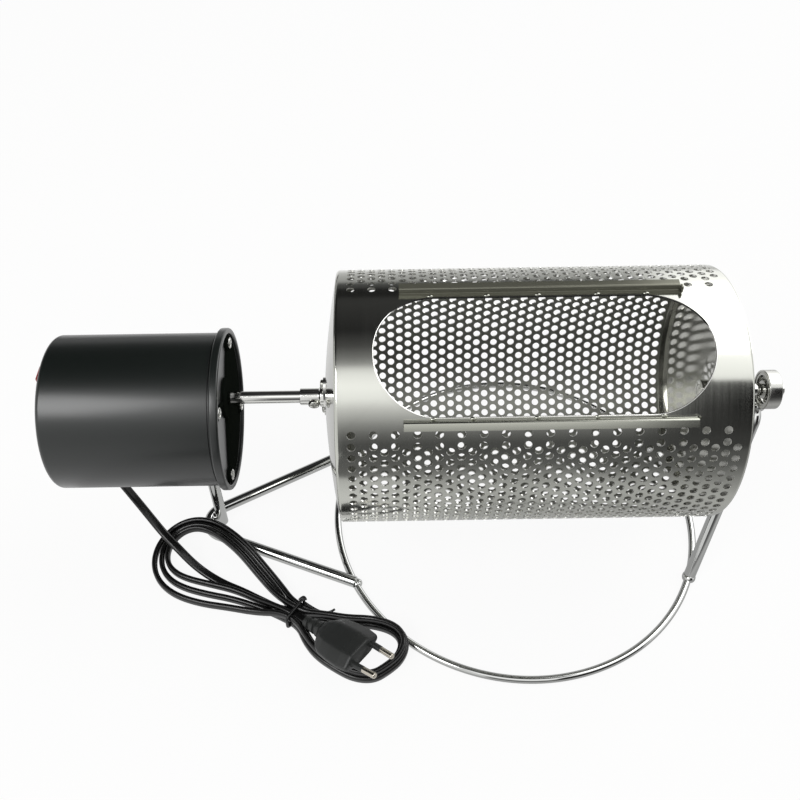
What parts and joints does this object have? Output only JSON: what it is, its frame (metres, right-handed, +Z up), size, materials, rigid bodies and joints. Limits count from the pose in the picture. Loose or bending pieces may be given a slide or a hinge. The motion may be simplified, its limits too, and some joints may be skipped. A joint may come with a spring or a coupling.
{
  "type": "drum coffee roaster",
  "caption": "Small electric coffee roaster: perforated steel drum with a loading hatch, geared motor, ball bearing, chromed wire stand and a folded mains lead.",
  "frame": {"origin": "on the floor, under the middle of the roaster without its lead", "axes": "+X along the drum axis from motor to bearing, +Y away from the hatch side, +Z up"},
  "size_m": [0.4667, 0.2729, 0.2184],
  "materials": {
    "chromed_wire": "polished",
    "bearing_steel": "ground",
    "drum_steel": "brushed round the drum, half bright",
    "rail_steel": "dull, as rolled",
    "turned_steel": "turned",
    "zinc_screw": "zinc plated",
    "motor_paint": "semi-gloss black",
    "cover_paint": "satin black",
    "gear_nylon": "moulded",
    "gearbox_steel": "galvanised",
    "copper_winding": "enamelled wire",
    "switch_black": "moulded",
    "switch_red": "moulded, clear red",
    "cord_black": "soft PVC",
    "rubber_black": "moulded",
    "plug_black": "fine grain",
    "pin_nickel": "nickel plated",
    "tie_black": "coated wire"
  },
  "bodies": {
    "stand": {"base_ring": "chromed_wire", "motor_arms": "chromed_wire", "motor_post": "chromed_wire", "bearing_legs": "chromed_wire", "bearing_housing": "bearing_steel", "bearing_outer_race": "bearing_steel", "cover_screws": "zinc_screw", "post_screw": "zinc_screw", "motor_housing": "motor_paint", "front_cover": "cover_paint", "gear_case": "gearbox_steel", "gear_plate": "gearbox_steel", "stator_yoke": "gearbox_steel", "stator_coil": "copper_winding", "switch_frame": "switch_black", "cord_lead": "cord_black", "cord_hank": "cord_black", "cord_gland": "rubber_black", "plug_relief": "rubber_black", "plug_body": "plug_black", "pin_sleeves": "plug_black", "plug_pins": "pin_nickel", "cord_tie": "tie_black"},
    "drum": {"drum_shell": "drum_steel", "end_plate_left": "drum_steel", "end_plate_right": "drum_steel", "rail_upper": "rail_steel", "rail_lower": "rail_steel", "rail_welds": "rail_steel", "drive_hub": "turned_steel", "drive_hub_screws": "zinc_screw", "hub_set_screw": "zinc_screw", "hub_nuts": "zinc_screw", "axle_hub": "turned_steel", "axle_hub_screws": "zinc_screw", "stub_axle": "turned_steel", "bearing_inner_race": "bearing_steel", "output_shaft": "turned_steel", "output_gear": "gear_nylon"},
    "idler": {"idler_gear": "gear_nylon"},
    "motor_rotor": {"rotor": "gearbox_steel"},
    "bearing_balls": {"ball_cage": "bearing_steel"},
    "rocker": {"switch_rocker": "switch_red"}
  },
  "joints": [
    {"name": "drum_spin", "type": "hinge", "parent": "stand", "child": "drum", "pos_m": [0, 0, 0.135], "axis": [1, 0, 0], "continuous": true},
    {"name": "idler_spin", "type": "hinge", "parent": "stand", "child": "idler", "pos_m": [-0.13, 0.01321, 0.12107], "axis": [1, 0, 0], "continuous": true},
    {"name": "rotor_spin", "type": "hinge", "parent": "stand", "child": "motor_rotor", "pos_m": [-0.15, 0, 0.1243], "axis": [1, 0, 0], "continuous": true},
    {"name": "ball_spin", "type": "hinge", "parent": "stand", "child": "bearing_balls", "pos_m": [0.224, 0, 0.135], "axis": [1, 0, 0], "continuous": true},
    {"name": "switch_tilt", "type": "hinge", "parent": "stand", "child": "rocker", "pos_m": [-0.226, 0, 0.1523], "axis": [0, 1, 0], "range_deg": [-16, 0]}
  ],
  "couplings": [
    {"joint": "idler_spin", "follows": "drum_spin", "ratio": -3},
    {"joint": "rotor_spin", "follows": "drum_spin", "ratio": 7.2},
    {"joint": "ball_spin", "follows": "drum_spin", "ratio": 0.368}
  ]
}
